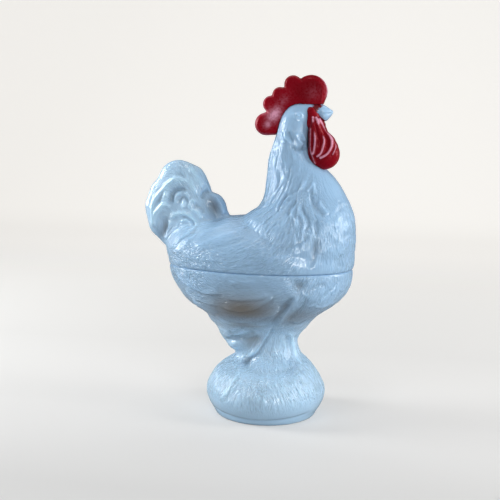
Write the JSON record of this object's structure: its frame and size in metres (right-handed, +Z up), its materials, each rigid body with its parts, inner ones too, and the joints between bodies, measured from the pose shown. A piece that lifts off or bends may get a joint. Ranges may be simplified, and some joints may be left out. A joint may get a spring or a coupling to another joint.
{
  "type": "rooster covered dish",
  "caption": "Footed glass dish shaped as a standing rooster: the lower body is the bowl, and the back, tail and head lift off as its cover.",
  "frame": {"origin": "on the table under the middle of the bird: halfway between the tail's rear edge and the breast, in its mirror plane, at the underside of the foot ring", "axes": "+X the way the bird faces, +Z up, Y across the bird, with the mirror plane at Y = 0"},
  "size_m": [0.1375, 0.0826, 0.2162],
  "materials": {
    "milk_glass": "opaque pale blue-white pressed glass, glossy, feather relief",
    "red_enamel": "glossy dark red enamel, worn to pale glass on the ridges"
  },
  "bodies": {
    "dish": {"dish": "milk_glass"},
    "cover": {"cover": "milk_glass", "comb": "red_enamel", "wattles": "red_enamel"}
  },
  "joints": [
    {"name": "cover_lift", "type": "slide", "parent": "dish", "child": "cover", "axis": [0, 0, 1], "range_m": [0, 0.15]}
  ]
}
